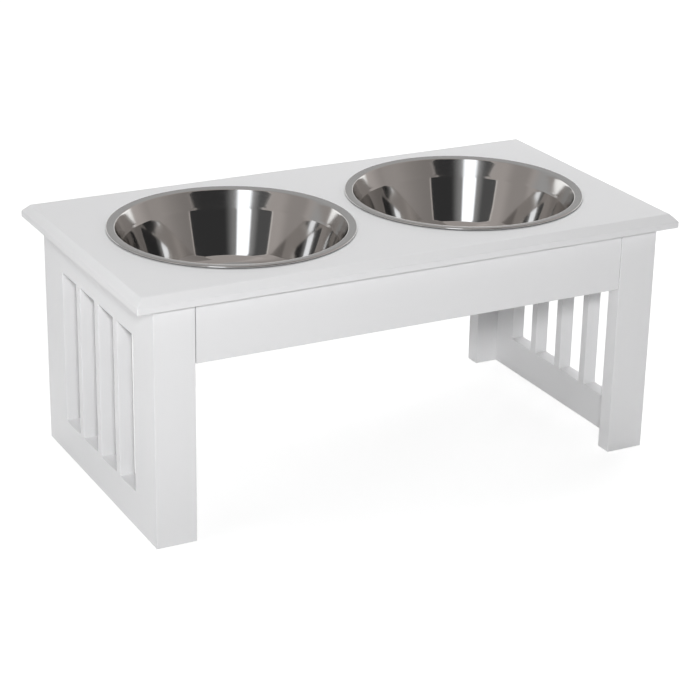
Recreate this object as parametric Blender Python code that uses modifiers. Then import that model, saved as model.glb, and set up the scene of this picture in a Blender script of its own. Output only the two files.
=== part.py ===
# Raised feeding table for a pet, with two lift-out steel bowls.
# Metres, +Z up. The table stands on Z = 0, centred on X and Y, its long side along X.
# The bowls are the sizes that the rest follows: the board is laid out round them,
# the frame stands in from the board's edge, and every joint takes its place from the frame.

from math import cos, pi, radians, sin, tan

import bmesh
import bpy
from mathutils import Matrix, Vector

# Bowls, pressed from steel sheet with a curled rim
BOWL_RIM_RADIUS = 0.122
BOWL_RIM_GAP = 0.017
BOWL_FLANGE_WIDTH = 0.0088
BOWL_FLANGE_FALL = 0.0007
BOWL_CURL_RADIUS = 0.0012
BOWL_CURL_TURN = radians(270)
BOWL_SHEET = 0.0007
BOWL_NECK_CORNER = 0.0015
BOWL_NECK_DEPTH = 0.0145
BOWL_NECK_TAPER = radians(22)
BOWL_STEP_WIDTH = 0.0011
BOWL_STEP_HEIGHT = 0.0023
BOWL_WALL_TAPER = radians(18.3)
BOWL_FLOOR_CORNER = 0.018
BOWL_DEPTH = 0.072
BOWL_BASE_RADIUS = 0.062
BOWL_BASE_RISE = 0.0008
BOWL_BASE_SLOPE = 0.002

# Board, with its upper edge chamfered all round
TABLE_HEIGHT = 0.254
BOARD_THICKNESS = 0.014
BOARD_CHAMFER = 0.0072
BOARD_LOWER_EASE = 0.0006
BOARD_END_MARGIN = 0.0395
BOARD_FRONT_MARGIN = 0.0305
HOLE_PLAY = 0.0016

# Frame: at each end a side of rails, stiles and slats between two legs, and an apron front and back
END_OVERHANG = 0.019
FRONT_OVERHANG = 0.0105
LEG_WIDTH = 0.041
LEG_DEPTH = 0.018
SIDE_THICKNESS = 0.015
STILE_WIDTH = 0.032
TOP_RAIL_HEIGHT = 0.042
BOTTOM_RAIL_HEIGHT = 0.038
SLAT_COUNT = 3
SLAT_WIDTH = 0.010
TENON_LENGTH = 0.007
TENON_SHOULDER = 0.0018
APRON_HEIGHT = 0.060
APRON_THICKNESS = 0.015
APRON_SETBACK = 0.001
EDGE_EASE = 0.001

# Beech dowels
DOWEL_RADIUS = 0.004
DOWEL_LENGTH = 0.030
DOWEL_CHAMFER = 0.0008
RAIL_DOWEL_INSET = 0.0105

# Cam fittings: a bolt screwed into one piece, drawn home by a nut let into the other
CAM_RADIUS = 0.0075
CAM_THICKNESS = 0.012
CAM_REACH = 0.024
CAM_AXIS_DEPTH = 0.0075
CAM_TO_DOWEL = 0.0095
CAM_CROSS_LENGTH = 0.009
CAM_CROSS_WIDTH = 0.0012
CAM_CROSS_DEPTH = 0.0015
CAM_CROSS_TURN = radians(45)
CAM_MOUTH_TURN = radians(110)
BOLT_HEAD_RADIUS = 0.0035
BOLT_HEAD_HEIGHT = 0.003
BOLT_NECK_RADIUS = 0.0017
BOLT_SHANK_RADIUS = 0.0032
BOLT_THREAD_RADIUS = 0.003
BOLT_THREAD_LENGTH = 0.011
BOLT_CHAMFER = 0.0006
APRON_FIXING_INSET = 0.018

# Clearances between pieces that meet, and in the bores that pieces sit in
JOINT_GAP = 0.0003
SEAT_GAP = 0.0003
FIT_GAP = 0.0003
DOWEL_END_PLAY = 0.0005
BOLT_BORE_PLAY = 0.0006
CUTTER_OVERRUN = 0.002

# Facets round a full turn, steps along a rounded corner, and what counts as meeting or as parallel
BOWL_FACETS = 48
HOLE_FACETS = 64
FASTENER_FACETS = 8
CAM_FACETS = 16
FLOOR_CORNER_STEPS = 3
NECK_CORNER_STEPS = 2
CURL_STEPS = 6
EASE_STEPS = 2
MERGE_DISTANCE = 0.00001
PARALLEL_COSINE = 0.9
SMOOTH_ANGLE = radians(35)

# Sizes that follow from those above
BOWL_SPACING = 2 * BOWL_RIM_RADIUS + BOWL_RIM_GAP
BOWL_NECK_RADIUS = BOWL_RIM_RADIUS - BOWL_FLANGE_WIDTH
BOARD_LENGTH = BOWL_SPACING + 2 * BOWL_RIM_RADIUS + 2 * BOARD_END_MARGIN
BOARD_DEPTH = 2 * BOWL_RIM_RADIUS + 2 * BOARD_FRONT_MARGIN
HOLE_RADIUS = BOWL_NECK_RADIUS + BOWL_SHEET + HOLE_PLAY
FRAME_LENGTH = BOARD_LENGTH - 2 * END_OVERHANG
FRAME_DEPTH = BOARD_DEPTH - 2 * FRONT_OVERHANG
BOARD_UNDERSIDE = TABLE_HEIGHT - BOARD_THICKNESS
FRAME_TOP = BOARD_UNDERSIDE - JOINT_GAP
SIDE_X = FRAME_LENGTH / 2 - SIDE_THICKNESS / 2
LEG_X = FRAME_LENGTH / 2 - LEG_WIDTH / 2
LEG_Y = FRAME_DEPTH / 2 - LEG_DEPTH / 2
LEG_INNER_X = FRAME_LENGTH / 2 - LEG_WIDTH
STILE_Y = FRAME_DEPTH / 2 - LEG_DEPTH - JOINT_GAP - STILE_WIDTH / 2
RAIL_LENGTH = 2 * (STILE_Y - STILE_WIDTH / 2 - JOINT_GAP)
RAIL_SPANS = {"bottom": (0, BOTTOM_RAIL_HEIGHT), "top": (FRAME_TOP - TOP_RAIL_HEIGHT, FRAME_TOP)}
SLOT_WIDTH = (RAIL_LENGTH - SLAT_COUNT * SLAT_WIDTH) / (SLAT_COUNT + 1)
SLAT_PITCH = SLOT_WIDTH + SLAT_WIDTH
SLAT_PLACES = [(index - (SLAT_COUNT - 1) / 2) * SLAT_PITCH for index in range(SLAT_COUNT)]
SLAT_BOTTOM = BOTTOM_RAIL_HEIGHT + JOINT_GAP
SLAT_LENGTH = FRAME_TOP - TOP_RAIL_HEIGHT - JOINT_GAP - SLAT_BOTTOM
APRON_LENGTH = 2 * (LEG_INNER_X - JOINT_GAP)
APRON_Y = FRAME_DEPTH / 2 - APRON_SETBACK - APRON_THICKNESS / 2
APRON_INNER_Y = APRON_Y - APRON_THICKNESS / 2
APRON_BOLT_Y = APRON_INNER_Y + CAM_AXIS_DEPTH
APRON_CAM_Z = FRAME_TOP - APRON_HEIGHT + APRON_FIXING_INSET
APRON_DOWEL_Z = FRAME_TOP - APRON_FIXING_INSET
BOARD_BOLT_X = SIDE_X - SIDE_THICKNESS / 2 + CAM_AXIS_DEPTH
BOARD_CAM_Y = RAIL_LENGTH / 2 - DOWEL_LENGTH / 2 - CAM_RADIUS - CAM_TO_DOWEL

# Directions, and which way left, right, front and back lie
ALONG_X = Vector((1, 0, 0))
ALONG_Y = Vector((0, 1, 0))
UP = Vector((0, 0, 1))
SIDES = {"left": -1, "right": 1}
ENDS = {"front": -1, "back": 1}


def clear_scene():
    for thing in list(bpy.data.objects):
        bpy.data.objects.remove(thing)


def add_collection(name):
    collection = bpy.data.collections.new(name)
    bpy.context.scene.collection.children.link(collection)
    return collection


def add_material(name, colour, roughness, metallic):
    material = bpy.data.materials.new(name)
    material.use_nodes = True
    shader = material.node_tree.nodes["Principled BSDF"]
    shader.inputs["Base Color"].default_value = (*colour, 1)
    shader.inputs["Roughness"].default_value = roughness
    shader.inputs["Metallic"].default_value = metallic
    return material


def white_paint():
    return add_material("white_paint", (0.80, 0.80, 0.80), 0.45, 0.0)


def polished_steel():
    return add_material("polished_steel", (0.62, 0.60, 0.58), 0.08, 1.0)


def beech():
    return add_material("beech", (0.60, 0.43, 0.27), 0.70, 0.0)


def zinc():
    return add_material("zinc", (0.55, 0.55, 0.56), 0.40, 1.0)


def add_object(name, mesh, collection, place=(0, 0, 0), turn=None, parent=None):
    thing = bpy.data.objects.new(name, mesh)
    collection.objects.link(thing)
    thing.parent = parent
    thing.location = place
    if turn is not None:
        thing.rotation_euler = turn.to_euler()
    return thing


def add_cutter(name, mesh, place, turn=None, parent=None):
    cutter = add_object(name, mesh, CUTTERS, place, turn, parent)
    cutter.hide_render = True
    cutter.display_type = "WIRE"
    return cutter


def cut(piece, cutter):
    step = piece.modifiers.new("cut " + cutter.name, "BOOLEAN")
    step.operation = "DIFFERENCE"
    step.solver = "EXACT"
    step.object = cutter


def facing(z_direction, x_direction):
    # The turn that points a mesh's own Z and X axes along these two directions
    return Matrix((x_direction, z_direction.cross(x_direction), z_direction)).transposed()


def runs_along(edge, axis):
    start, end = (vertex.co for vertex in edge.verts)
    return abs((end - start).normalized()[axis]) > PARALLEL_COSINE


def finish_mesh(work, name, material):
    mesh = bpy.data.meshes.new(name)
    work.to_mesh(mesh)
    work.free()
    if material is not None:
        mesh.materials.append(material)
    mesh.shade_smooth()
    mesh.set_sharp_from_angle(angle=SMOOTH_ANGLE)
    return mesh


def box_mesh(name, size, material=None, eased_axis=None):
    # A box with, if asked, the four edges along one axis rounded over
    work = bmesh.new()
    bmesh.ops.create_cube(work, size=1)
    bmesh.ops.scale(work, vec=size, verts=work.verts)
    if eased_axis is not None:
        edges = [edge for edge in work.edges if runs_along(edge, eased_axis)]
        bmesh.ops.bevel(
            work, geom=edges, offset=EDGE_EASE, segments=EASE_STEPS, profile=0.5, affect="EDGES")
    return finish_mesh(work, name, material)


def cylinder_mesh(name, radius, length, facets, material=None):
    # A cylinder along Z that starts at its own origin
    work = bmesh.new()
    middle = Matrix.Translation(UP * length / 2)
    bmesh.ops.create_cone(
        work, cap_ends=True, segments=facets, radius1=radius, radius2=radius, depth=length, matrix=middle)
    return finish_mesh(work, name, material)


def profile_mesh(name, points, material):
    # An open line of points in the XZ plane, to be turned about Z
    mesh = bpy.data.meshes.new(name)
    edges = [(index, index + 1) for index in range(len(points) - 1)]
    mesh.from_pydata([(radius, 0, height) for radius, height in points], edges, [])
    mesh.materials.append(material)
    return mesh


def turn_profile(piece, facets):
    screw = piece.modifiers.new("turn", "SCREW")
    screw.axis = "Z"
    screw.angle = 2 * pi
    screw.steps = facets
    screw.render_steps = facets
    screw.use_merge_vertices = True
    screw.merge_threshold = MERGE_DISTANCE
    screw.use_smooth_shade = True


def applied_mesh(piece, name):
    # The piece as its modifiers leave it, as a mesh that copies can share
    bpy.context.view_layer.update()
    evaluated = piece.evaluated_get(bpy.context.evaluated_depsgraph_get())
    mesh = bpy.data.meshes.new_from_object(evaluated)
    mesh.name = name
    mesh.set_sharp_from_angle(angle=SMOOTH_ANGLE)
    return mesh


def turned_mesh(name, points, material):
    blank = add_object(name + "_blank", profile_mesh(name + "_profile", points, material), CUTTERS)
    turn_profile(blank, FASTENER_FACETS)
    mesh = applied_mesh(blank, name)
    bpy.data.objects.remove(blank)
    return mesh


def arc(centre, radius, start, end, steps):
    points = []
    for index in range(steps + 1):
        angle = start + (end - start) * index / steps
        points.append((centre[0] + radius * cos(angle), centre[1] + radius * sin(angle)))
    return points


def bowl_profile():
    # The food side of the sheet, from the centre of the floor out to the end of the curled rim.
    # Height 0 is the foot of the curl, where the bowl sits on the board.
    curl_centre = (BOWL_RIM_RADIUS - BOWL_CURL_RADIUS, BOWL_CURL_RADIUS)
    flange_height = 2 * BOWL_CURL_RADIUS - BOWL_FLANGE_FALL
    neck_centre = (BOWL_NECK_RADIUS + BOWL_NECK_CORNER, flange_height - BOWL_NECK_CORNER)
    neck_corner = arc(neck_centre, BOWL_NECK_CORNER, pi - BOWL_NECK_TAPER, pi / 2, NECK_CORNER_STEPS)
    neck_radius, neck_height = neck_corner[0]

    floor = BOWL_SHEET - BOWL_DEPTH
    step_bottom = -BOWL_NECK_DEPTH - BOWL_STEP_HEIGHT
    step_radius = neck_radius - (neck_height + BOWL_NECK_DEPTH) * tan(BOWL_NECK_TAPER)
    wall_radius = step_radius - BOWL_STEP_WIDTH
    corner_height = floor + BOWL_FLOOR_CORNER
    tangent_height = corner_height - BOWL_FLOOR_CORNER * sin(BOWL_WALL_TAPER)
    tangent_radius = wall_radius - (step_bottom - tangent_height) * tan(BOWL_WALL_TAPER)
    corner_radius = tangent_radius - BOWL_FLOOR_CORNER * cos(BOWL_WALL_TAPER)
    corner_centre = (corner_radius, corner_height)

    points = [(0, floor + BOWL_BASE_RISE)]
    points.append((BOWL_BASE_RADIUS - BOWL_BASE_SLOPE, floor + BOWL_BASE_RISE))
    points.append((BOWL_BASE_RADIUS, floor))
    points += arc(corner_centre, BOWL_FLOOR_CORNER, -pi / 2, -BOWL_WALL_TAPER, FLOOR_CORNER_STEPS)
    points.append((wall_radius, step_bottom))
    points.append((step_radius, -BOWL_NECK_DEPTH))
    points += neck_corner
    points += arc(curl_centre, BOWL_CURL_RADIUS, pi / 2, pi / 2 - BOWL_CURL_TURN, CURL_STEPS)
    return points


def board_mesh():
    work = bmesh.new()
    bmesh.ops.create_cube(work, size=1)
    bmesh.ops.scale(work, vec=(BOARD_LENGTH, BOARD_DEPTH, BOARD_THICKNESS), verts=work.verts)
    upper = [edge for edge in work.edges if all(vertex.co.z > 0 for vertex in edge.verts)]
    bmesh.ops.bevel(work, geom=upper, offset=BOARD_CHAMFER, segments=1, affect="EDGES")
    foot = -BOARD_THICKNESS / 2 + MERGE_DISTANCE
    lower = [edge for edge in work.edges if all(vertex.co.z < foot for vertex in edge.verts)]
    bmesh.ops.bevel(work, geom=lower, offset=BOARD_LOWER_EASE, segments=1, affect="EDGES")
    return finish_mesh(work, "top_board", PAINT)


def slat_mesh():
    # A stick as thick as the rails, with a shouldered tenon at each end
    work = bmesh.new()
    bmesh.ops.create_cube(work, size=1)
    bmesh.ops.scale(work, vec=(SIDE_THICKNESS, SLAT_WIDTH, SLAT_LENGTH), verts=work.verts)
    ends = [face for face in work.faces if abs(face.normal.z) > PARALLEL_COSINE]
    bmesh.ops.inset_individual(work, faces=ends, thickness=TENON_SHOULDER, use_even_offset=True)
    for face in ends:
        shift = UP * (TENON_LENGTH if face.normal.z > 0 else -TENON_LENGTH)
        raised = bmesh.ops.extrude_face_region(work, geom=[face])["geom"]
        tip = [part for part in raised if isinstance(part, bmesh.types.BMVert)]
        bmesh.ops.translate(work, vec=shift, verts=tip)
    bmesh.ops.delete(work, geom=ends, context="FACES_ONLY")
    return finish_mesh(work, "slat", PAINT)


def mortise_mesh():
    # Its middle lies on the rail's face, so half of it is in the wood
    length = SIDE_THICKNESS - 2 * (TENON_SHOULDER - FIT_GAP)
    width = SLAT_WIDTH - 2 * (TENON_SHOULDER - FIT_GAP)
    return box_mesh("mortise", (length, width, 2 * (TENON_LENGTH + FIT_GAP)))


def dowel_mesh():
    half = DOWEL_LENGTH / 2
    points = [(0, half), (DOWEL_RADIUS - DOWEL_CHAMFER, half), (DOWEL_RADIUS, half - DOWEL_CHAMFER)]
    points += [(radius, -height) for radius, height in reversed(points)]
    return turned_mesh("dowel", points, WOOD)


def bolt_mesh():
    # Height 0 is the joint. The head is at the top, and the thread runs down from 0.
    head_top = CAM_REACH + BOLT_HEAD_HEIGHT / 2
    head_foot = CAM_REACH - BOLT_HEAD_HEIGHT / 2
    shank_top = CAM_REACH - CAM_RADIUS - FIT_GAP
    points = [(0, head_top)]
    points.append((BOLT_HEAD_RADIUS - BOLT_CHAMFER, head_top))
    points.append((BOLT_HEAD_RADIUS, head_top - BOLT_CHAMFER))
    points.append((BOLT_HEAD_RADIUS, head_foot))
    points.append((BOLT_NECK_RADIUS, head_foot))
    points.append((BOLT_NECK_RADIUS, shank_top))
    points.append((BOLT_SHANK_RADIUS, shank_top))
    points.append((BOLT_SHANK_RADIUS, JOINT_GAP))
    points.append((BOLT_THREAD_RADIUS, JOINT_GAP))
    points.append((BOLT_THREAD_RADIUS, BOLT_CHAMFER - BOLT_THREAD_LENGTH))
    points.append((BOLT_THREAD_RADIUS - BOLT_CHAMFER, -BOLT_THREAD_LENGTH))
    points.append((0, -BOLT_THREAD_LENGTH))
    return turned_mesh("cam_bolt", points, METAL)


def nut_mesh():
    # Its origin is the middle of the face that shows. Z points out of that face, X towards the joint.
    # The bolt's head comes in at the mouth, and the pocket holds it once the nut has been turned.
    blank_mesh = cylinder_mesh("cam_nut_blank", CAM_RADIUS, CAM_THICKNESS, CAM_FACETS, METAL)
    blank_mesh.transform(Matrix.Translation(-UP * CAM_THICKNESS))
    blank = add_object("cam_nut_blank", blank_mesh, CUTTERS)
    head_radius = BOLT_HEAD_RADIUS + FIT_GAP
    pocket_depth = BOLT_HEAD_HEIGHT + 2 * FIT_GAP
    reach = CAM_RADIUS + CUTTER_OVERRUN
    mouth = cylinder_mesh("cam_mouth", head_radius, reach, FASTENER_FACETS)
    neck = cylinder_mesh("cam_neck", BOLT_NECK_RADIUS + FIT_GAP, reach, FASTENER_FACETS)
    pocket = cylinder_mesh("cam_pocket", head_radius, pocket_depth, FASTENER_FACETS)
    cross = box_mesh("cam_cross", (CAM_CROSS_LENGTH, CAM_CROSS_WIDTH, 2 * CAM_CROSS_DEPTH))
    middle = -UP * CAM_AXIS_DEPTH
    pocket_start = middle - ALONG_X * pocket_depth / 2
    mouth_direction = Matrix.Rotation(CAM_MOUTH_TURN, 3, "Z") @ ALONG_X
    tools = [add_cutter("cam_neck", neck, middle, facing(ALONG_X, UP))]
    tools.append(add_cutter("cam_pocket", pocket, pocket_start, facing(ALONG_X, UP)))
    tools.append(add_cutter("cam_mouth", mouth, middle, facing(mouth_direction, UP)))
    for turn in (CAM_CROSS_TURN, -CAM_CROSS_TURN):
        tools.append(add_cutter("cam_cross", cross, (0, 0, 0), Matrix.Rotation(turn, 3, "Z")))
    for tool in tools:
        cut(blank, tool)
    mesh = applied_mesh(blank, "cam_nut")
    for thing in tools + [blank]:
        bpy.data.objects.remove(thing)
    return mesh


def thread_hole_mesh():
    length = BOLT_THREAD_LENGTH + FIT_GAP + CUTTER_OVERRUN
    return cylinder_mesh("thread_hole", BOLT_THREAD_RADIUS + FIT_GAP, length, FASTENER_FACETS)


def dowel_hole_mesh():
    length = DOWEL_LENGTH / 2 + DOWEL_END_PLAY + CUTTER_OVERRUN
    return cylinder_mesh("dowel_hole", DOWEL_RADIUS + FIT_GAP, length, FASTENER_FACETS)


def nut_bore_mesh():
    length = CAM_THICKNESS + FIT_GAP + CUTTER_OVERRUN
    return cylinder_mesh("nut_bore", CAM_RADIUS + FIT_GAP, length, CAM_FACETS)


def bolt_bore_mesh():
    length = CAM_REACH + CUTTER_OVERRUN
    return cylinder_mesh("bolt_bore", BOLT_SHANK_RADIUS + BOLT_BORE_PLAY, length, FASTENER_FACETS)


def drill(piece, name, tool, face_place, inward, across):
    # A blind hole, as deep as the tool is long. face_place is on the face that it starts from.
    start = face_place - inward * CUTTER_OVERRUN
    cut(piece, add_cutter(name, tool, start, facing(inward, across), piece.parent))


def bore_for_fitting(piece, name, face_place, face_normal, to_joint):
    # The nut's bore, down from the face, and the bolt's bore, from the nut's middle out to the joint
    drill(piece, name + "_nut_bore", NUT_BORE, face_place, -face_normal, to_joint)
    middle = face_place - face_normal * CAM_AXIS_DEPTH
    turn = facing(to_joint, face_normal)
    cut(piece, add_cutter(name + "_bolt_bore", BOLT_BORE, middle, turn, piece.parent))


def place_fitting(name, face_place, face_normal, to_joint, parent):
    # The nut lies in the face, and the bolt comes to it from the joint CAM_REACH away
    add_object(name + "_cam_nut", CAM_NUT, PIECES, face_place, facing(face_normal, to_joint), parent)
    joint = face_place - face_normal * CAM_AXIS_DEPTH + to_joint * CAM_REACH
    add_object(name + "_cam_bolt", CAM_BOLT, PIECES, joint, facing(-to_joint, face_normal), parent)


def make_leg(frame_side, side, sign, end, way):
    name = "_".join((end, side, "leg"))
    mesh = box_mesh(name, (LEG_WIDTH, LEG_DEPTH, FRAME_TOP), PAINT, eased_axis=2)
    place = (sign * (LEG_X - SIDE_X), way * LEG_Y, FRAME_TOP / 2)
    leg = add_object(name, mesh, PIECES, place, parent=frame_side)
    face_x = sign * (LEG_INNER_X - SIDE_X)
    outward = sign * ALONG_X
    thread_place = Vector((face_x, way * APRON_BOLT_Y, APRON_CAM_Z))
    drill(leg, name + "_thread_hole", THREAD_HOLE, thread_place, outward, UP)
    dowel_place = Vector((face_x, way * APRON_Y, APRON_DOWEL_Z))
    drill(leg, name + "_dowel_hole", DOWEL_HOLE, dowel_place, outward, UP)


def rail_dowel_heights(level):
    bottom, top = RAIL_SPANS[level]
    return {"lower": bottom + RAIL_DOWEL_INSET, "upper": top - RAIL_DOWEL_INSET}


def make_stile(frame_side, side, end, way):
    name = "_".join((side, end, "stile"))
    mesh = box_mesh(name, (SIDE_THICKNESS, STILE_WIDTH, FRAME_TOP), PAINT)
    stile = add_object(name, mesh, PIECES, (0, way * STILE_Y, FRAME_TOP / 2), parent=frame_side)
    for level in RAIL_SPANS:
        for row, height in rail_dowel_heights(level).items():
            label = "_".join((name, level, row, "dowel_hole"))
            face_place = Vector((0, way * (STILE_Y - STILE_WIDTH / 2), height))
            drill(stile, label, DOWEL_HOLE, face_place, way * ALONG_Y, ALONG_X)


def make_rail(frame_side, side, level):
    bottom, top = RAIL_SPANS[level]
    name = "_".join((side, level, "rail"))
    mesh = box_mesh(name, (SIDE_THICKNESS, RAIL_LENGTH, top - bottom), PAINT)
    rail = add_object(name, mesh, PIECES, (0, 0, (bottom + top) / 2), parent=frame_side)
    for end, way in ENDS.items():
        for row, height in rail_dowel_heights(level).items():
            label = "_".join((name, end, row, "dowel"))
            end_face = Vector((0, way * RAIL_LENGTH / 2, height))
            drill(rail, label + "_hole", DOWEL_HOLE, end_face, -way * ALONG_Y, ALONG_X)
            place = end_face + way * ALONG_Y * JOINT_GAP / 2
            add_object(label, DOWEL, PIECES, place, facing(ALONG_Y, ALONG_X), frame_side)
    mortise_face = top if level == "bottom" else bottom
    for index, slat_y in enumerate(SLAT_PLACES):
        label = "%s_mortise_%d" % (name, index + 1)
        cut(rail, add_cutter(label, MORTISE, (0, slat_y, mortise_face), parent=frame_side))
    return rail


def fix_board_to_rail(rail, side, sign):
    for end, way in ENDS.items():
        joint = "_".join((side, end, "board"))
        face = Vector((-sign * SIDE_THICKNESS / 2, way * BOARD_CAM_Y, BOARD_UNDERSIDE - CAM_REACH))
        bore_for_fitting(rail, joint, face, -sign * ALONG_X, UP)
        place_fitting(joint, face, -sign * ALONG_X, UP, rail.parent)


def make_slats(frame_side, side):
    for index, slat_y in enumerate(SLAT_PLACES):
        place = (0, slat_y, SLAT_BOTTOM + SLAT_LENGTH / 2)
        add_object("%s_slat_%d" % (side, index + 1), SLAT, PIECES, place, parent=frame_side)


def make_side(side, sign):
    # All of a side hangs from one empty, in the middle of the thickness of its rails
    frame_side = add_object(side + "_side", None, PIECES, (sign * SIDE_X, 0, 0))
    for end, way in ENDS.items():
        make_leg(frame_side, side, sign, end, way)
        make_stile(frame_side, side, end, way)
    make_rail(frame_side, side, "bottom")
    top_rail = make_rail(frame_side, side, "top")
    fix_board_to_rail(top_rail, side, sign)
    make_slats(frame_side, side)


def make_apron(end, way):
    name = end + "_apron"
    mesh = box_mesh(name, (APRON_LENGTH, APRON_THICKNESS, APRON_HEIGHT), PAINT, eased_axis=0)
    apron = add_object(name, mesh, PIECES, (0, way * APRON_Y, FRAME_TOP - APRON_HEIGHT / 2))
    for side, sign in SIDES.items():
        joint = "_".join((name, side))
        outward = sign * ALONG_X
        face = Vector((sign * (LEG_INNER_X - CAM_REACH), way * APRON_INNER_Y, APRON_CAM_Z))
        bore_for_fitting(apron, joint, face, -way * ALONG_Y, outward)
        place_fitting(joint, face, -way * ALONG_Y, outward, None)
        end_face = Vector((sign * APRON_LENGTH / 2, way * APRON_Y, APRON_DOWEL_Z))
        drill(apron, joint + "_dowel_hole", DOWEL_HOLE, end_face, -outward, UP)
        place = end_face + outward * JOINT_GAP / 2
        add_object(joint + "_dowel", DOWEL, PIECES, place, facing(ALONG_X, UP))


def make_board():
    board = add_object("top_board", board_mesh(), PIECES, (0, 0, TABLE_HEIGHT - BOARD_THICKNESS / 2))
    hole = cylinder_mesh("bowl_hole", HOLE_RADIUS, BOARD_THICKNESS + 2 * CUTTER_OVERRUN, HOLE_FACETS)
    for side, sign in SIDES.items():
        place = (sign * BOWL_SPACING / 2, 0, BOARD_UNDERSIDE - CUTTER_OVERRUN)
        cut(board, add_cutter(side + "_bowl_hole", hole, place))
        for end, way in ENDS.items():
            label = "_".join(("board", side, end, "thread_hole"))
            face_place = Vector((sign * BOARD_BOLT_X, way * BOARD_CAM_Y, BOARD_UNDERSIDE))
            drill(board, label, THREAD_HOLE, face_place, UP, ALONG_X)


def make_bowl(side, sign):
    # The bowl's origin is on the line that it lifts out along
    place = (sign * BOWL_SPACING / 2, 0, TABLE_HEIGHT + SEAT_GAP)
    bowl = add_object(side + "_bowl", BOWL_LINE, PIECES, place)
    turn_profile(bowl, BOWL_FACETS)
    sheet = bowl.modifiers.new("sheet", "SOLIDIFY")
    sheet.thickness = BOWL_SHEET
    sheet.offset = -1


def make_table():
    for side, sign in SIDES.items():
        make_side(side, sign)
    for end, way in ENDS.items():
        make_apron(end, way)
    make_board()
    for side, sign in SIDES.items():
        make_bowl(side, sign)


clear_scene()
PIECES = add_collection("feeding_table")
CUTTERS = add_collection("cutters")

PAINT = white_paint()
STEEL = polished_steel()
WOOD = beech()
METAL = zinc()

# Meshes that copies share, first of pieces and then of the holes they sit in
BOWL_LINE = profile_mesh("bowl", bowl_profile(), STEEL)
SLAT = slat_mesh()
DOWEL = dowel_mesh()
CAM_BOLT = bolt_mesh()
CAM_NUT = nut_mesh()
MORTISE = mortise_mesh()
DOWEL_HOLE = dowel_hole_mesh()
THREAD_HOLE = thread_hole_mesh()
NUT_BORE = nut_bore_mesh()
BOLT_BORE = bolt_bore_mesh()

make_table()
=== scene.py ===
from math import cos, pi, radians, sin, tan

import bmesh
import bpy
from mathutils import Matrix, Vector


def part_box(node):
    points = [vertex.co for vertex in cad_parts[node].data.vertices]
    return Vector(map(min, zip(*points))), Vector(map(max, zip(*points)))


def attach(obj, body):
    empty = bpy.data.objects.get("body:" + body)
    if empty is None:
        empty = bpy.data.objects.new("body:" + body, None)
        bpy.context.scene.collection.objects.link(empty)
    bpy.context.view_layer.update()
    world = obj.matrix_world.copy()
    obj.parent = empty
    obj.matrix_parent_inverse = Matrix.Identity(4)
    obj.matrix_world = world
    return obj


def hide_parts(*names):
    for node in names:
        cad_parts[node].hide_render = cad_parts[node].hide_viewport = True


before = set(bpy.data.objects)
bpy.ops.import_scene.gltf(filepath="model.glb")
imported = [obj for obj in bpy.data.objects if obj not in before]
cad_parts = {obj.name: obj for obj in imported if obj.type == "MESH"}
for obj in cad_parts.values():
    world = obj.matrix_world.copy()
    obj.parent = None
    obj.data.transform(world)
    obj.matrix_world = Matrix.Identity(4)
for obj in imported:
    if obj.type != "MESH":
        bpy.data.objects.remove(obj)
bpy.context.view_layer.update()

print("frame loaded:", len(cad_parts), "nodes")


# Node trees. A Wire is one socket, and a sum written with wires adds its own Math nodes.
class Wire:
    def __init__(self, net, socket):
        self.net = net
        self.socket = socket

    def out(self, name):
        return Wire(self.net, self.socket.node.outputs[name])

    def __add__(self, other):
        return self.net.sums("ADD", self, other)

    def __radd__(self, other):
        return self.net.sums("ADD", other, self)

    def __sub__(self, other):
        return self.net.sums("SUBTRACT", self, other)

    def __rsub__(self, other):
        return self.net.sums("SUBTRACT", other, self)

    def __mul__(self, other):
        return self.net.sums("MULTIPLY", self, other)

    def __rmul__(self, other):
        return self.net.sums("MULTIPLY", other, self)

    def __truediv__(self, other):
        return self.net.sums("DIVIDE", self, other)

    def __rtruediv__(self, other):
        return self.net.sums("DIVIDE", other, self)

    def __pow__(self, power):
        return self.net.sums("POWER", self, power)

    def __neg__(self):
        return self.net.sums("MULTIPLY", self, -1.0)

    def __abs__(self):
        return self.net.sums("ABSOLUTE", self)

    def most(self, other):
        return self.net.sums("MAXIMUM", self, other)

    def least(self, other):
        return self.net.sums("MINIMUM", self, other)

    def above(self, edge, soft):
        # 0 well under edge, 1 well over it, eased across soft on both sides
        return self.net.add(
            "ShaderNodeMapRange", {"Value": self, "From Min": edge - soft, "From Max": edge + soft},
            interpolation_type="SMOOTHSTEP")

    def below(self, edge, soft):
        return 1 - self.above(edge, soft)

    def inside(self, low, high, soft):
        return self.above(low, soft) * self.below(high, soft)


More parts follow.
